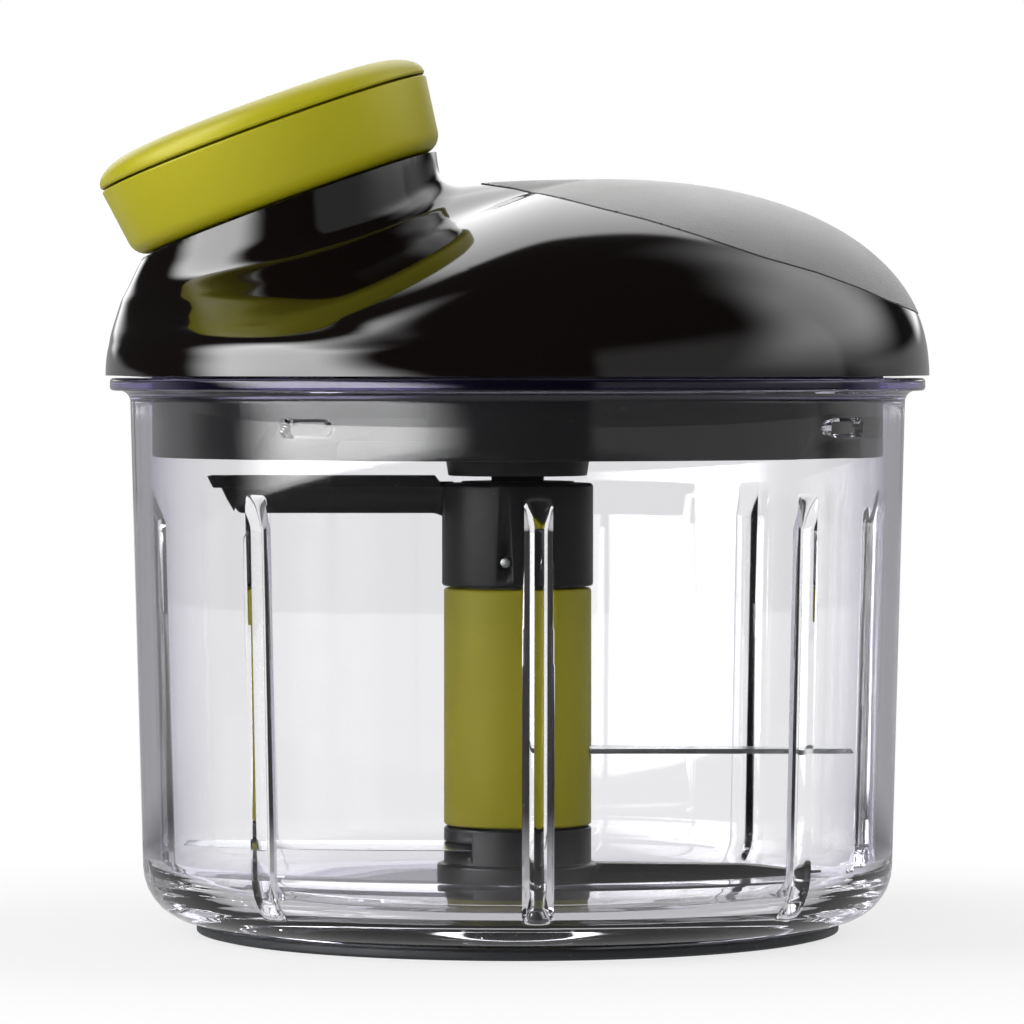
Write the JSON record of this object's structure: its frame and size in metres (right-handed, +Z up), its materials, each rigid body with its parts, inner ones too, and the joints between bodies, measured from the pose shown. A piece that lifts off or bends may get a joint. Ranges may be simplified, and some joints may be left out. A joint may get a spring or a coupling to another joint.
{
  "type": "food chopper",
  "caption": "Pull-cord food chopper: clear bowl with inner ribs, domed bayonet lid with a cord reel, tilted disc handle and a turning blade column.",
  "frame": {"origin": "middle of the foot's flat underside, on the surface the chopper stands on", "axes": "+Z up along the bowl's and blade column's axis, -Y the front seen in the picture, the pull handle over -X and the hump with the grip pad over +X"},
  "size_m": [0.1322, 0.1314, 0.1392],
  "materials": {
    "clear_lilac": "clear, polished",
    "foot_rubber": "matte",
    "polished_steel": "polished",
    "bush_bronze": "sintered",
    "inner_plastic": "satin",
    "green_plastic": "satin",
    "dark_plastic": "satin",
    "seal_silicone": "matte",
    "gloss_lid": "high gloss",
    "soft_grip": "matte, stippled",
    "cord_nylon": "woven"
  },
  "bodies": {
    "bowl": {"bowl": "clear_lilac", "base_foot": "foot_rubber", "pivot_pin": "polished_steel"},
    "seal": {"seal_ring": "seal_silicone"},
    "lid": {"lid_shell": "gloss_lid", "grip_pad": "soft_grip", "lid_base": "dark_plastic", "cord_guide": "dark_plastic", "mechanism_frame": "inner_plastic", "spring_case": "inner_plastic", "recoil_spring": "polished_steel", "roller_carrier": "inner_plastic", "roller_pin": "polished_steel", "cord_run": "cord_nylon", "lid_screw_1": "polished_steel", "lid_screw_2": "polished_steel", "lid_screw_3": "polished_steel", "frame_screw_1": "polished_steel", "frame_screw_2": "polished_steel", "frame_screw_3": "polished_steel"},
    "handle": {"handle_base": "green_plastic", "handle_cap": "green_plastic", "cord_ferrule": "polished_steel", "pull_cord": "cord_nylon"},
    "spool": {"spool": "green_plastic", "cord_winding": "cord_nylon"},
    "roller": {"guide_roller": "inner_plastic"},
    "drive": {"drive_shaft": "dark_plastic", "ratchet_hub": "green_plastic", "hub_screw": "polished_steel"},
    "blade_unit": {"blade_core": "inner_plastic", "pivot_bush": "bush_bronze", "grip_sleeve": "green_plastic", "upper_collar": "dark_plastic", "lower_collar": "dark_plastic", "upper_blade": "polished_steel", "lower_blade": "polished_steel", "cross_pin": "polished_steel"}
  },
  "joints": [
    {"name": "lid_lift", "type": "slide", "parent": "bowl", "child": "seal", "axis": [0, 0, 1], "range_m": [0, 0.06]},
    {"name": "lid_twist", "type": "hinge", "parent": "seal", "child": "lid", "pos_m": [0, 0, 0.0886], "axis": [0, 0, 1], "range_deg": [-14, 0]},
    {"name": "handle_pull", "type": "slide", "parent": "lid", "child": "handle", "axis": [-0.342, 0, 0.9397], "range_m": [0, 0.35], "stiffness_N_per_m": 8, "springref_m": -0.5, "deforming": ["pull_cord"]},
    {"name": "spool_spin", "type": "hinge", "parent": "lid", "child": "spool", "pos_m": [0, 0, 0.0934], "axis": [0, 0, 1], "continuous": true, "deforming": ["cord_winding"]},
    {"name": "roller_spin", "type": "hinge", "parent": "lid", "child": "roller", "pos_m": [-0.02653, 0.00279, 0.10121], "axis": [-0.5252, 0.8293, -0.1911], "continuous": true},
    {"name": "drive_spin", "type": "hinge", "parent": "lid", "child": "drive", "pos_m": [0, 0, 0.073], "axis": [0, 0, 1], "continuous": true},
    {"name": "blade_spin", "type": "hinge", "parent": "bowl", "child": "blade_unit", "pos_m": [0, 0, 0.0143], "axis": [0, 0, 1], "continuous": true}
  ],
  "couplings": [
    {"joint": "spool_spin", "follows": "handle_pull", "rad_per_m": 64.103},
    {"joint": "roller_spin", "follows": "handle_pull", "rad_per_m": 200},
    {"joint": "drive_spin", "follows": "handle_pull", "rad_per_m": 64.103},
    {"joint": "blade_spin", "follows": "handle_pull", "rad_per_m": 64.103}
  ]
}
